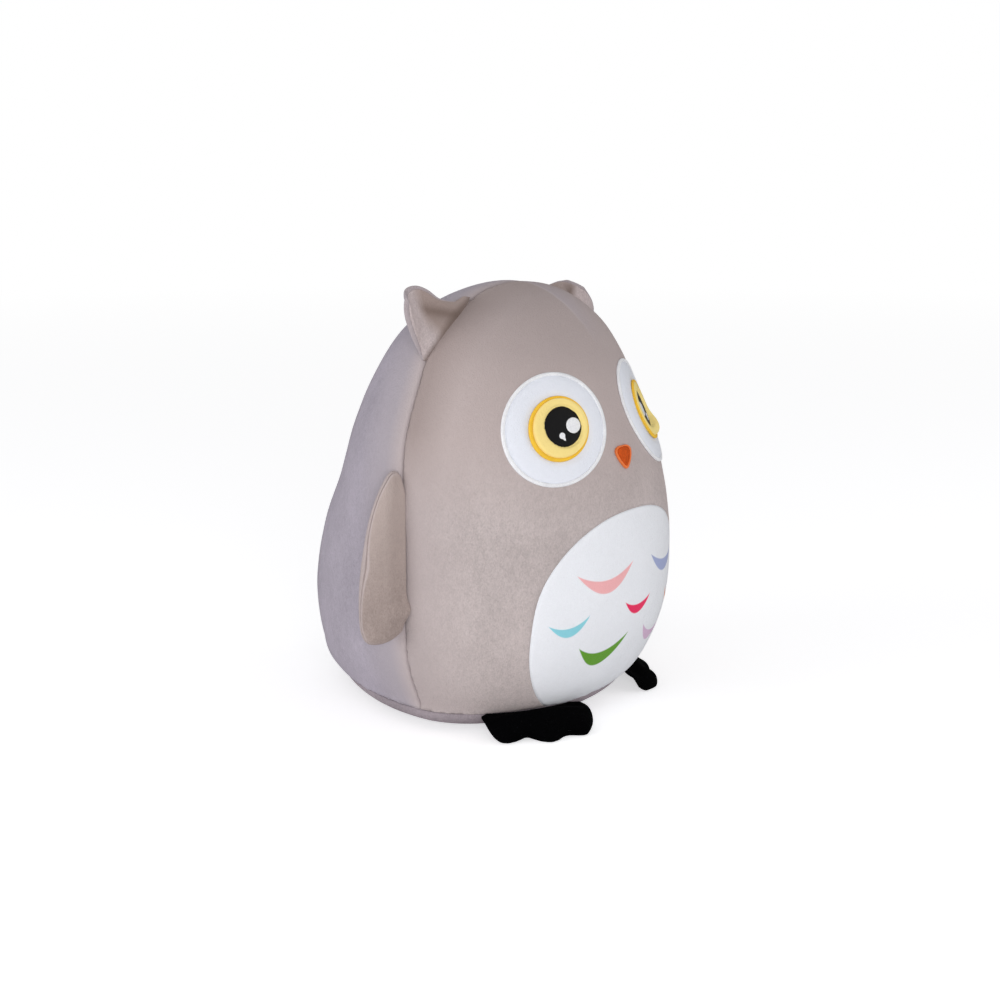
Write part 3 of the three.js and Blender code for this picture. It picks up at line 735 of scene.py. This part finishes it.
def back_skin():
    def place(turn, share):
        points = away_from_front(turn * FULL_TURN, math.pi * (1 - share / 2))
        points[:, 1] = np.maximum(points[:, 1], SEAM_GAP)
        return points
    bm = sheet_of(420, 90, place)
    cut_at_base(bm)
    panel("back", bm)


def base_skin():
    def place(turn, share):
        level = smooth(share, BASE_FLAT_SHARE, 2 - BASE_FLAT_SHARE) * 2 * (BASE_SEAM - SEAM_GAP)
        points = body_point(turn * FULL_TURN, level)
        points[:, :2] *= np.minimum(share / BASE_FLAT_SHARE, 1)[:, None]
        return points
    bm = sheet_of(300, 36, place)
    panel("base", bm)


def stuffing():
    def place(turn, share):
        points = away_from_front(turn * FULL_TURN, math.pi * share)
        rise = relief(points) - STUFFING_INSET + 0.0005 * waves(points, 0.012, 5)
        return points + outwards(points) * rise[:, None]
    bm = sheet_of(240, 160, place)
    moved(bm, lambda points: np.clip(
        points, [-1, -1, STUFFING_INSET], [1, 1, BODY_HEIGHT - STUFFING_INSET]))
    piece("stuffing", bm, "owl_body", FINISHES["filling"], ["body_filling"], outwards)


front_skin()
belly_skin()
back_skin()
base_skin()
stuffing()


# Patches laid on the skin

def patch_frame(across, level):
    """Middle, normal, and directions towards the beak and up, of a patch placed from the front."""
    middle = front_point(across, level)
    normal = outwards(middle[None])[0]
    inwards = np.array([-1.0 if across > 0 else 1.0, 0, 0])
    inwards -= normal * (inwards @ normal)
    inwards[2] = 0
    inwards /= np.linalg.norm(inwards)
    inwards -= normal * (inwards @ normal)
    inwards /= np.linalg.norm(inwards)
    up = np.array([0, 0, 1]) - normal * normal[2]
    up -= inwards * (up @ inwards)
    up /= np.linalg.norm(up)
    return middle, normal, inwards, up


def on_frame(patch, across, up, height):
    """Points over the dressed skin, by their place in the patch's frame."""
    under = 0.03  # deep enough to start inside the body
    middle, normal, inwards, upwards = patch
    start = middle + across[:, None] * inwards + up[:, None] * upwards - normal * under
    skin = follow(start, np.repeat(normal[None], len(start), 0), 2 * under)
    return skin + outwards(skin) * (relief(skin) + height)[:, None]


def drawn_circle(middle, radius):
    """A circle drawn out along the eye's diagonal, as a function of the turn and of a change in radius."""
    def outline(turn, grow=0.0):
        angle = turn * FULL_TURN
        long = (radius + grow) * EYE_DRAWN * np.cos(angle)
        short = (radius + grow) / EYE_DRAWN * np.sin(angle)
        across = middle[0] + long * math.cos(EYE_TURN) - short * math.sin(EYE_TURN)
        return across, middle[1] + long * math.sin(EYE_TURN) + short * math.cos(EYE_TURN)
    return outline


def spline(points, turns, closed):
    """Points of a smooth curve through the given ones, at shares from 0 to 1 of the way."""
    points = np.array(points, float)
    count = len(points) if closed else len(points) - 1
    along = np.clip(turns, 0, 1) * count
    row = np.minimum(along.astype(int), count - 1)
    p = (along - row)[:, None]
    if closed:
        before, start, end, after = [points[(row + shift) % len(points)] for shift in (-1, 0, 1, 2)]
    else:
        before, start, end, after = [
            points[np.clip(row + shift, 0, len(points) - 1)] for shift in (-1, 0, 1, 2)]
    return curved(p, start, end, (end - before) / 2, (after - start) / 2)


def satin(name, patch, outer, inner, low, crown, stitches, finish, nodes):
    """A satin-stitched border: threads laid side by side across the space between two outlines."""
    per_stitch, section = 4, 8  # points along the border for a thread, and over half its section
    thread_rise = 0.00012

    def place(turn, share):
        sweep = share * FULL_TURN  # round the border's own section
        across_share = 0.5 - 0.5 * np.cos(sweep)
        ridge = 0.5 + 0.5 * np.cos(turn * stitches * FULL_TURN)
        ragged = thread_rise * np.sin(turn * stitches * FULL_TURN / 2 + 1) * (1 - across_share)
        one, other = outer(turn, ragged), inner(turn)
        x = one[0] + (other[0] - one[0]) * across_share
        y = one[1] + (other[1] - one[1]) * across_share
        height = low + np.where(sweep < math.pi, 1, -0.2) * np.abs(np.sin(sweep)) ** 0.8 * crown
        height += np.where(sweep < math.pi, 1, 0) * np.abs(np.sin(sweep)) * thread_rise * ridge
        return on_frame(patch, x, y, height)
    bm = sheet_of(stitches * per_stitch, 2 * section, place)
    piece(name, bm, "owl_body", finish, nodes)


def disc(name, patch, outline, columns, rings, height, finish, nodes):
    """A padded disc: height is a function of the share of the way out, and of the place across and up."""
    top_share = 0.85  # the rest of the sheet goes down to the skin at the edge
    edge_height = 0.0001

    def place(turn, share):
        top = np.minimum(share / top_share, 1)
        rim = outline(turn)
        centre = outline(turn, None)
        x = centre[0] + (rim[0] - centre[0]) * top
        y = centre[1] + (rim[1] - centre[1]) * top
        under = smooth(share, top_share, 1)
        return on_frame(patch, x, y, height(top, x, y) * (1 - under) + edge_height * under)
    bm = sheet_of(columns, rings, place)
    bmesh.ops.contextual_create(bm, geom=[edge for edge in bm.edges if edge.is_boundary])
    piece(name, bm, "owl_body", finish, nodes)


def domed(low, rise, power):
    """The height of a disc that rises inside its edge, more gently the lower the power."""
    return lambda share, x, y: low + rise * np.sqrt(np.maximum(1 - share ** power, 0))


def shifted(spot, shift):
    return spot[0] + shift[0], spot[1] + shift[1]


def circle_outline(middle, radius, ragged=0.0, tail=None):
    """As drawn_circle, with its middle where the change in radius is None, a ragged edge, and a tail."""
    drawn = drawn_circle(middle, radius)

    def outline(turn, grow=0.0):
        if grow is None:
            return middle
        edge = ragged * (np.sin(turn * 71 * FULL_TURN) + np.sin(turn * 113 * FULL_TURN + 2)) / 2
        if tail is not None:
            off = (turn * FULL_TURN + EYE_TURN - tail + math.pi) % FULL_TURN - math.pi
            edge = edge + 0.9 * radius * np.exp(-(off / 0.3) ** 2)
        return drawn(turn, edge + grow)
    return outline


def eye(side, label):
    patch = patch_frame(side * EYE_SIDE, EYE_LEVEL)
    white = (0.0, 0.0)
    iris = IRIS_SHIFTS[label]
    yellow = shifted(iris, IRIS_OFFSET)
    pupil = shifted(iris, PUPIL_SHIFTS[label])
    over_pupil = PUPIL_TOP + 0.0004

    def white_height(share, x, y):
        """Flat, pulled in along the iris and low under it."""
        iris_share = np.hypot(x - iris[0], y - iris[1]) / IRIS_RADIUS
        pulled = 0.0009 * np.exp(-((iris_share - 1) / 0.1) ** 2)
        under = smooth(iris_share, 1, 0.9)
        return (WHITE_TOP * (1 - share ** 14) + 0.0004 - pulled) * (1 - 0.7 * under)

    def iris_height(share, x, y):
        """A round ring between the sewn edge of the iris and the pupil, which pulls the middle in."""
        from_pupil = np.maximum(np.hypot(x - pupil[0], y - pupil[1]) - PUPIL_RADIUS, 0)
        from_edge = (1 - share) * IRIS_RADIUS
        across = from_pupil / (from_pupil + from_edge + 1e-9)
        low = PUPIL_TOP + (WHITE_TOP - PUPIL_TOP) * across
        way = (x - iris[0] - IRIS_BULGE_PLACE[0]) ** 2 + (y - iris[1] - IRIS_BULGE_PLACE[1]) ** 2
        crest = IRIS_CRESTS[label] - PUPIL_TOP + IRIS_BULGES[label] * np.exp(-way / IRIS_BULGE_REACH ** 2)
        return low + crest * np.sqrt(np.maximum(1 - (2 * across - 1) ** 4, 0))

    satin(f"eye_border_{label}", patch, drawn_circle(white, EYE_RADIUS),
          drawn_circle(white, EYE_RADIUS - EYE_STITCH), low=0.0003, crown=0.0013, stitches=520,
          finish=FINISHES["white_thread"], nodes=[f"eye_stitch_{label}"])
    disc(f"eye_pad_{label}", patch, circle_outline(white, EYE_RADIUS - EYE_STITCH * PAD_UNDER_BORDER),
         180, 40, white_height, FINISHES["eye"], [f"eye_white_{label}"])
    satin(f"iris_border_{label}", patch, drawn_circle(iris, IRIS_RADIUS),
          drawn_circle(yellow, IRIS_RADIUS - IRIS_STITCH), low=WHITE_TOP + 0.0002, crown=0.0014, stitches=320,
          finish=FINISHES["amber_thread"], nodes=[f"iris_stitch_{label}"])
    disc(f"iris_pad_{label}", patch, circle_outline(yellow, IRIS_RADIUS - IRIS_STITCH * PAD_UNDER_BORDER),
         150, 40, iris_height, FINISHES["iris"], [f"iris_{label}"])
    disc(f"pupil_patch_{label}", patch, circle_outline(pupil, PUPIL_RADIUS, 0.00022),
         360, 30, domed(PUPIL_TOP, 0.0005, 8), FINISHES["black_thread"], [f"pupil_{label}"])
    disc(f"glint_patch_{label}", patch, circle_outline(shifted(pupil, GLINT_SHIFT), GLINT_RADIUS, 0.00015),
         240, 16, domed(over_pupil, 0.0005, 6), FINISHES["white_thread"], [f"glint_{label}"])
    spark = circle_outline(shifted(pupil, SPARK_SHIFT), SPARK_RADIUS, 0.0001, SPARK_TAIL)
    disc(f"spark_patch_{label}", patch, spark,
         90, 10, domed(over_pupil, 0.0004, 6), FINISHES["white_thread"], [f"spark_{label}"])


def beak():
    full = BEAK_TOP - BEAK_TIP
    patch = patch_frame(BEAK_SIDE, BEAK_TIP + full * BEAK_MIDDLE_SHARE)

    def outline(inset):
        height = full - 2 * inset
        middle = height * BEAK_MIDDLE_SHARE
        points = [(x * (BEAK_HALF - inset), y * height - middle) for x, y in BEAK_SHARES]

        def edge(turn, grow=0.0):
            if grow is None:
                return 0.0, 0.0
            spots = spline(points, turn, True)
            return spots[:, 0], spots[:, 1]
        return edge
    satin("beak_border", patch, outline(0.0), outline(BEAK_STITCH), low=0.0004, crown=0.0014, stitches=110,
          finish=FINISHES["orange_thread"], nodes=["beak_stitch"])
    disc("beak_pad", patch, outline(BEAK_STITCH * PAD_UNDER_BORDER),
         120, 20, domed(0.0006, 0.0018, 4), FINISHES["beak"], ["beak"])


for label, side in SIDES.items():
    eye(side, label)
beak()


# Limbs: two layers round a filling

def pinched(height, from_root, stretch):
    """A height in the limb, made less over a stretch at the root, where it bends."""
    ease = PINCH_SHARE + (1 - PINCH_SHARE) * smooth(from_root, 0, stretch)
    size = np.abs(height)
    return np.sign(height) * (np.minimum(size, LIMB_EDGE) + np.maximum(size - LIMB_EDGE, 0) * ease)


def limb_outline(shares, width, height, root, rolled=EDGE_SEAM):
    """The whole outline of a limb, its free edge and then its root, and how far in from it the seam lies."""
    free = spline([(x * width, y * height) for x, y in shares], np.linspace(0, 1, 12 * len(shares)), False)
    loop = np.vstack([free, root, free[:1]])
    run = np.concatenate([[0], np.cumsum(np.linalg.norm(np.diff(loop, axis=0), axis=1))])
    run /= run[-1]
    free_end = run[len(free) - 1]

    def outline(turn):
        return np.stack([np.interp(turn, run, loop[:, 0]), np.interp(turn, run, loop[:, 1])], -1)

    def seam(turn):
        return rolled * smooth(turn, 0, 0.1 * free_end) * smooth(free_end - turn, 0, 0.5 * free_end)
    return outline, seam


def padded(outlines, crown, reach, ridge=0.0):
    """Half thickness of a limb, which rises within a reach from the edge. The edge may have a ridge."""
    rim = outlines[0](np.linspace(0, 1, 721))

    def height(spots):
        away = np.min(np.linalg.norm(spots[:, None] - rim[None], axis=2), axis=1)
        near = 1 - np.minimum(away / reach, 1)
        edge = LIMB_EDGE + ridge * np.exp(-((near - 0.75) / 0.13) ** 2)
        return edge * np.sqrt(1 - near ** 12) + crown * np.sqrt(1 - near ** FILL_SHARE)
    return height


def limb_layer(outlines, middle, height, place, face, filled):
    """A layer as a closed sheet: its outer face, over the edge as far as the seam, then its inner face."""
    outline, seam = outlines
    outer_share = 0.7  # of the sheet

    def at(turn, share):
        way_out = outline(turn) - middle
        length = np.linalg.norm(way_out, axis=1)
        end = 1 - seam(turn) / length
        sweep = np.arcsin(end) if face > 0 else math.pi - np.arcsin(end)
        outer = share < outer_share + 0.001
        sweep = sweep * np.minimum(share / outer_share, 1)
        way = np.where(outer, np.sin(sweep), end * (1 - share) / (1 - outer_share))
        spots = middle + way_out * way[:, None]
        full = height(spots)
        up = full * face * np.sign(np.cos(sweep))
        from_seam = (end - way) * length
        sewn = np.minimum(seam(turn) / 0.001, 1)  # fades out where the seam meets the edge
        up *= 1 - GROOVE * np.exp(-(from_seam / GROOVE_HALF) ** 2) * sewn * (up > 0)
        lining = face * (np.maximum(full - FABRIC, LINING) if filled else LINING)
        rim = np.exp(-((from_seam - PALE_EDGE[0]) / PALE_EDGE[1]) ** 2) * sewn if face > 0 else up > 0
        return np.column_stack([place(spots[:, 0], spots[:, 1], np.where(outer, up, lining)), rim])
    return sheet_of(240, 50, at)


def limb_filling(outlines, middle, height, place):
    inset = FABRIC + FILLING_GAP

    def at(turn, share):
        around = (share * 2 - 1) * math.pi / 2
        spots = middle + (outlines[0](turn) - middle) * FILL_REACH * np.cos(around)[:, None]
        return place(spots[:, 0], spots[:, 1], np.sin(around) * np.maximum(height(spots) - inset, LINING))
    return sheet_of(120, 24, at)


def limb(kind, label, layers, *shape, slot, fill, bend, filled=True):
    """Makes the pieces of a limb: its layers and their finishes, front or top first, and its filling."""
    body = f"{kind}_{label}"
    for face, (layer, finish) in zip((1, -1), layers.items()):
        bm = limb_layer(*shape, face, filled)
        piece(f"{kind}_{layer}_layer_{label}", bm, body, FINISHES[finish],
              [f"{kind}_{layer}_panel_{label}"], bend=bend)
    if filled:
        piece(f"{kind}_padding_{label}", limb_filling(*shape), body, FINISHES["filling"],
              [f"{kind}_filling_{label}"], bend=bend)


def wing(side, label):
    height = WING_ROOT_HIGH - WING_TIP
    out = np.array([side * math.cos(WING_SWEEP), math.sin(WING_SWEEP), 0])
    forwards = np.array([side * math.sin(WING_SWEEP), -math.cos(WING_SWEEP), 0])
    root = [(0, WING_ROOT_LOW - WING_TIP + (WING_ROOT_HIGH - WING_ROOT_LOW) * share)
            for share in np.linspace(0.05, 0.95, 12)]
    outlines = limb_outline(WING_SHARES, WING_REACH - WING_ROOT_GAP, height, root)
    middle = np.array([WING_REACH * WING_MIDDLE_SHARES[0], height * WING_MIDDLE_SHARES[1]])

    def place(x, y, thickness):
        bow = WING_BOW * np.sin(math.pi * x / WING_REACH)
        lift = pinched(thickness, x, WING_PINCH) + bow
        lobe = WING_LOBE * np.exp(-((WING_TIP + y - WING_LOBE_LEVEL) / WING_LOBE_HALF) ** 2)
        over = (WING_OVERHANG + lobe) * (1 - smooth(x, 0, WING_OVERHANG_REACH))
        over = over * smooth(WING_ROOT_HIGH - WING_TIP - y, 0, WING_OVERHANG_FADE)
        start = np.stack([side * (SIDE_HALF - WING_SINK * over / WING_OVERHANG), -over, WING_TIP + y], -1)
        return start + (x + WING_ROOT_GAP)[:, None] * out + lift[:, None] * forwards
    seam = np.array([side * SIDE_HALF, 0, WING_ROOT_LOW])
    bend = (seam, seam + WING_BEND * out)
    thickness = padded(outlines, WING_CROWN, WING_ROUND)
    limb("wing", label, {"front": "limb_front", "back": "limb_back"}, outlines, middle, thickness, place,
         slot="plush_taupe", fill=0.7, bend=bend)


def ear(side, label):
    height = EAR_HEIGHTS[label]
    middle, half, along = EAR_MIDDLE, EAR_HALF, EAR_ALONG
    out = np.array([along[1], -along[0]])

    def root_at(share):
        spot = side_rim(EAR_ROOT_LOW + (EAR_ROOT_HIGH - EAR_ROOT_LOW) * share) - middle
        return np.array([spot @ along, spot @ out])
    arc = np.array([root_at(share) for share in np.linspace(0, 1, 21)])
    root = [root_at(share) + (0, EAR_ROOT_GAP) for share in np.linspace(0.95, 0.05, 12)]
    outlines = limb_outline(EAR_SHARES[label], half, height, root)
    centre = np.array([half * EAR_MIDDLE_SHARES[0], height * EAR_MIDDLE_SHARES[1]])
    fold_middle, narrowing = EAR_FOLD_SHARES

    def place(x, y, thickness):
        rise = np.maximum(0, y - np.interp(x, arc[:, 0], arc[:, 1]))
        width = half * (1 - narrowing * y / height) + LIMB_EDGE
        fold = np.maximum(0, 1 - ((x - half * fold_middle) / width) ** 2)
        cup = EAR_CUP * fold * np.minimum(1, rise / EAR_CUP / EAR_RISE_SHARE)
        near_root = 1 - smooth(rise, 0, EAR_OVERHANG_REACH)
        from_end = np.maximum(1 - (x / half) ** 2, 0)
        over = EAR_OVERHANG * near_root * from_end
        sink = EAR_SINK * near_root * (EAR_SINK_AT_ENDS + (1 - EAR_SINK_AT_ENDS) * from_end)
        flat = middle + x[:, None] * along + (y - sink)[:, None] * out
        depth = math.tan(EAR_LEAN) * rise + cup - over - pinched(thickness, rise, EAR_PINCH)
        return np.stack([side * flat[:, 0], depth, flat[:, 1]], -1)
    bend = [(side * spot[0], 0, spot[1])
            for spot in (middle + EAR_RISE * EAR_BEND_START * out, middle + EAR_BEND * out)]
    thickness = padded(outlines, EAR_CROWN, EAR_ROUND, EAR_RIDGE)
    limb("ear", label, {"front": "ear_front", "back": "ear_back"}, outlines, centre, thickness, place,
         slot="plush_taupe", fill=0.3, bend=bend, filled=False)


def foot(side, label):
    turn, length = FOOT_TURNS[label], FOOT_LENGTHS[label]
    turns = np.array([turn + FOOT_ROOT_HALF_TURN, turn - FOOT_ROOT_HALF_TURN])
    ends = body_point(side * turns, np.full(2, BASE_SEAM))
    middle = ends.mean(0)
    along = (ends[1] - ends[0]) / np.linalg.norm(ends[1] - ends[0])
    out = np.array([-side * along[1], side * along[0], 0])

    def root_at(share, level):
        round_body = side * (turn + FOOT_ROOT_HALF_TURN * (1 - 2 * share))
        spots = body_point(round_body, np.full(len(share), level)) - middle
        return np.stack([spots @ along, spots @ out], -1)
    arc = root_at(np.linspace(0, 1, 21), BASE_SEAM)
    root = root_at(np.linspace(0.95, 0.05, 14), BASE_SEAM + FOOT_ROOT_RISES[label])
    root += (0, FOOT_ROOT_GAPS[label])
    rise = root[:, 1].max()
    outlines = limb_outline(FOOT_SHARES, FOOT_HALF, length, root, 0)
    centre = np.array([FOOT_HALF * FOOT_MIDDLE_SHARES[0], length * FOOT_MIDDLE_SHARES[1]])

    def place(x, y, thickness):
        drop_end = length * FOOT_DROP_SHARE
        drop = smooth(y - np.interp(x, arc[:, 0], arc[:, 1]), 0, drop_end)
        level = BASE_SEAM + (FOOT_LEVEL - BASE_SEAM) * drop
        level += (FOOT_TOE_LEVEL - FOOT_LEVEL) * smooth(y, drop_end, length)
        points = middle + x[:, None] * along + y[:, None] * out
        points[:, 2] = np.maximum(FOOT_FLOOR_GAP, level + pinched(thickness, y - rise, FOOT_PINCH))
        return points
    bend = (middle + rise / 2 * out, middle + (rise + FOOT_BEND) * out)
    thickness = padded(outlines, FOOT_CROWNS[label], FOOT_ROUND)
    limb("foot", label, {"top": "feet", "sole": "feet"}, outlines, centre, thickness, place,
         slot="plush_black", fill=0.6, bend=bend)


for label, side in SIDES.items():
    wing(side, label)
    ear(side, label)
    foot(side, label)


# Studio

def camera():
    made = bpy.data.objects.new("camera", bpy.data.cameras.new("camera"))
    made.data.lens = CAMERA_LENS
    made.data.sensor_width = 36
    back = Vector((
        math.sin(CAMERA_TURN) * math.cos(CAMERA_ELEVATION),
        -math.cos(CAMERA_TURN) * math.cos(CAMERA_ELEVATION),
        math.sin(CAMERA_ELEVATION),
    ))
    right = Vector((math.cos(CAMERA_TURN), math.sin(CAMERA_TURN), 0))
    turned = Matrix((right, back.cross(right), back)).transposed()
    made.matrix_world = Matrix.Translation(CAMERA_PLACE) @ turned.to_4x4()
    bpy.context.scene.collection.objects.link(made)
    bpy.context.scene.camera = made


def softbox(name, place, size, power, colour):
    lamp = bpy.data.lights.new(name, "AREA")
    lamp.shape = "DISK"
    lamp.size = size
    lamp.energy = power
    lamp.color = colour
    made = bpy.data.objects.new(name, lamp)
    made.location = place
    aim = Vector((0, 0, 0.15)) - Vector(place)
    made.rotation_euler = aim.to_track_quat("-Z", "Y").to_euler()
    bpy.context.scene.collection.objects.link(made)


def studio():
    bm = bmesh.new()
    bmesh.ops.create_grid(bm, x_segments=1, y_segments=1, size=30)
    mesh = bpy.data.meshes.new("floor")
    bm.to_mesh(mesh)
    bm.free()
    floor = bpy.data.objects.new("floor", mesh)
    bpy.context.scene.collection.objects.link(floor)
    finish = Finish("pale_floor", Roughness=0.9, Specular_IOR_Level=0.0)
    x, y, _ = finish.axes()
    far = ((x * x + y * y) ** 0.5).step(0.4, 3.0)  # where the floor fades to white for the camera
    finish.set("Base Color", finish.mix(far, (0.8, 0.8, 0.8, 1), (0, 0, 0, 1)))
    finish.set("Emission Color", finish.mix(far, (0.56, 0.56, 0.57, 1), (1, 1, 1, 1)))
    finish.set("Emission Strength", finish.node("ShaderNodeLightPath", {}, output="Is Camera Ray"))
    mesh.materials.append(finish.material)

    world = bpy.data.worlds.new("studio")
    world.use_nodes = True
    tree = world.node_tree
    background = tree.nodes["Background"]
    background.inputs["Color"].default_value = (1, 1, 1, 1)
    path = tree.nodes.new("ShaderNodeLightPath")
    bright = tree.nodes.new("ShaderNodeMath")
    bright.operation = "MULTIPLY_ADD"
    tree.links.new(path.outputs["Is Camera Ray"], bright.inputs[0])
    bright.inputs[1].default_value = 1 - AMBIENT
    bright.inputs[2].default_value = AMBIENT
    tree.links.new(bright.outputs[0], background.inputs["Strength"])
    bpy.context.scene.world = world

    softbox("key", (-1.75, -1.6, 0.45), size=1.3, power=30, colour=(1, 0.99, 0.985))
    softbox("fill", (1.2, -1.6, 0.6), size=1.3, power=6, colour=(1, 1, 1))
    softbox("side", (-2.1, 1.1, 0.4), size=1.4, power=24, colour=(0.98, 0.985, 1))


camera()
studio()
bpy.context.scene.view_settings.view_transform = "Standard"
